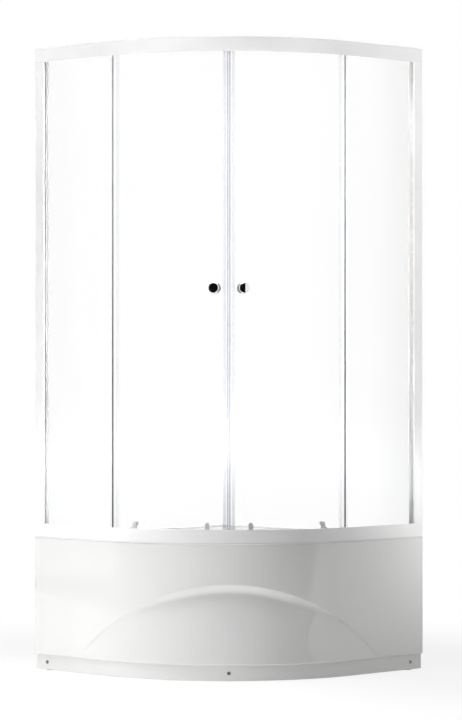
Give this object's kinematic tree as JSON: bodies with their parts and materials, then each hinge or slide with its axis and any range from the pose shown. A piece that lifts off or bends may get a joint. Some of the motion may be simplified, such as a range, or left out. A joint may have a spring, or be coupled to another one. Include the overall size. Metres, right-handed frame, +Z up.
{
  "type": "corner shower enclosure",
  "caption": "Quadrant corner shower enclosure with curved sliding glass doors in a white frame, on a deep tray with an arched front apron.",
  "frame": {"origin": "bottom centre of the bounding box, on the floor under the middle of the square footprint", "axes": "+Z up; the room's walls stand at -X and +Y and the curved front faces +X and -Y"},
  "size_m": [0.9, 0.9, 2.034],
  "materials": {
    "acrylic": "glossy white sanitary acrylic",
    "frame": "white powder coat on aluminium, smooth satin gloss",
    "glass": "clear toughened glass, faint grey-blue edges",
    "clear_seal": "translucent soft vinyl, faintly lavender grey",
    "magnet": "matt grey-brown flexible magnet",
    "chrome": "polished chrome plate",
    "chrome_drain": "polished chrome plate, water-spotted",
    "zinc": "zinc-plated steel, dull",
    "rubber": "matt black rubber",
    "grey_rubber": "matt grey glazing rubber",
    "black_plastic": "matt black moulded plastic",
    "white_plastic": "plain white moulded plastic",
    "grey_plastic": "light grey moulded plastic, fine grain",
    "nylon": "natural off-white nylon",
    "board": "raw particle board"
  },
  "bodies": {
    "frame_and_tray": {"tray": "acrylic", "base_board": "board", "front_apron": "acrylic", "plinth": "acrylic", "plinth_screws": "chrome", "plinth_brackets": "zinc", "main_bearer": "zinc", "cross_bearers": "zinc", "rim_posts": "zinc", "foot_studs": "zinc", "foot_pads": "black_plastic", "foot_nuts": "zinc", "drain_flange": "chrome_drain", "drain_cover": "chrome_drain", "drain_gasket": "rubber", "drain_trap": "white_plastic", "bottom_rail": "frame", "top_rail": "frame", "track_stops": "rubber", "setting_blocks": "black_plastic", "corner_keys": "zinc", "corner_key_screws": "zinc", "right_wall_channel": "frame", "right_jamb": "frame", "right_glazing_gasket": "grey_rubber", "right_fixed_glass": "glass", "left_wall_channel": "frame", "left_jamb": "frame", "left_glazing_gasket": "grey_rubber", "left_fixed_glass": "glass"},
    "right_door": {"right_door_glass": "glass", "right_magnet_seal": "clear_seal", "right_magnet_strip": "magnet", "right_edge_seal": "clear_seal", "right_outer_knob": "chrome", "right_inner_knob": "chrome", "right_knob_bolt": "zinc", "right_upper_brackets": "grey_plastic", "right_lower_brackets": "grey_plastic", "right_roller_pins": "zinc", "right_bracket_bolts": "grey_plastic"},
    "right_upper_centre_wheel": {"right_upper_centre_wheel": "nylon"},
    "right_upper_jamb_wheel": {"right_upper_jamb_wheel": "nylon"},
    "right_lower_centre_wheel": {"right_lower_centre_wheel": "nylon"},
    "right_lower_jamb_wheel": {"right_lower_jamb_wheel": "nylon"},
    "left_door": {"left_door_glass": "glass", "left_magnet_seal": "clear_seal", "left_magnet_strip": "magnet", "left_edge_seal": "clear_seal", "left_outer_knob": "chrome", "left_inner_knob": "chrome", "left_knob_bolt": "zinc", "left_upper_brackets": "grey_plastic", "left_lower_brackets": "grey_plastic", "left_roller_pins": "zinc", "left_bracket_bolts": "grey_plastic"},
    "left_upper_centre_wheel": {"left_upper_centre_wheel": "nylon"},
    "left_upper_jamb_wheel": {"left_upper_jamb_wheel": "nylon"},
    "left_lower_centre_wheel": {"left_lower_centre_wheel": "nylon"},
    "left_lower_jamb_wheel": {"left_lower_jamb_wheel": "nylon"}
  },
  "joints": [
    {"name": "right_door_slide", "type": "hinge", "parent": "frame_and_tray", "child": "right_door", "pos_m": [-0.2242, 0.1421, 1.246], "axis": [0, 0, 1], "range_deg": [0, 21.58]},
    {"name": "right_upper_centre_wheel_spin", "type": "hinge", "parent": "right_door", "child": "right_upper_centre_wheel", "pos_m": [0.32614, -0.22463, 2.0172], "axis": [0.7955, -0.606, 0], "continuous": true},
    {"name": "right_upper_jamb_wheel_spin", "type": "hinge", "parent": "right_door", "child": "right_upper_jamb_wheel", "pos_m": [0.42866, 0.01343, 2.0172], "axis": [0.9869, -0.1616, 0], "continuous": true},
    {"name": "right_lower_centre_wheel_spin", "type": "hinge", "parent": "right_door", "child": "right_lower_centre_wheel", "pos_m": [0.31643, -0.21724, 0.4732], "axis": [0.7955, -0.606, 0], "continuous": true},
    {"name": "right_lower_jamb_wheel_spin", "type": "hinge", "parent": "right_door", "child": "right_lower_jamb_wheel", "pos_m": [0.41662, 0.0154, 0.4732], "axis": [0.9869, -0.1616, 0], "continuous": true},
    {"name": "left_door_slide", "type": "hinge", "parent": "frame_and_tray", "child": "left_door", "pos_m": [-0.1421, 0.2242, 1.246], "axis": [0, 0, -1], "range_deg": [0, 21.58]},
    {"name": "left_upper_centre_wheel_spin", "type": "hinge", "parent": "left_door", "child": "left_upper_centre_wheel", "pos_m": [0.22463, -0.32614, 2.0172], "axis": [0.606, -0.7955, 0], "continuous": true},
    {"name": "left_upper_jamb_wheel_spin", "type": "hinge", "parent": "left_door", "child": "left_upper_jamb_wheel", "pos_m": [-0.01343, -0.42866, 2.0172], "axis": [0.1616, -0.9869, 0], "continuous": true},
    {"name": "left_lower_centre_wheel_spin", "type": "hinge", "parent": "left_door", "child": "left_lower_centre_wheel", "pos_m": [0.21724, -0.31643, 0.4732], "axis": [0.606, -0.7955, 0], "continuous": true},
    {"name": "left_lower_jamb_wheel_spin", "type": "hinge", "parent": "left_door", "child": "left_lower_jamb_wheel", "pos_m": [-0.0154, -0.41662, 0.4732], "axis": [0.1616, -0.9869, 0], "continuous": true}
  ],
  "couplings": [
    {"joint": "right_upper_centre_wheel_spin", "follows": "right_door_slide", "ratio": -73.334},
    {"joint": "right_upper_jamb_wheel_spin", "follows": "right_door_slide", "ratio": -73.897},
    {"joint": "right_lower_centre_wheel_spin", "follows": "right_door_slide", "ratio": -71.979},
    {"joint": "right_lower_jamb_wheel_spin", "follows": "right_door_slide", "ratio": -72.541},
    {"joint": "left_upper_centre_wheel_spin", "follows": "left_door_slide", "ratio": 73.334},
    {"joint": "left_upper_jamb_wheel_spin", "follows": "left_door_slide", "ratio": 73.897},
    {"joint": "left_lower_centre_wheel_spin", "follows": "left_door_slide", "ratio": 71.979},
    {"joint": "left_lower_jamb_wheel_spin", "follows": "left_door_slide", "ratio": 72.541}
  ]
}
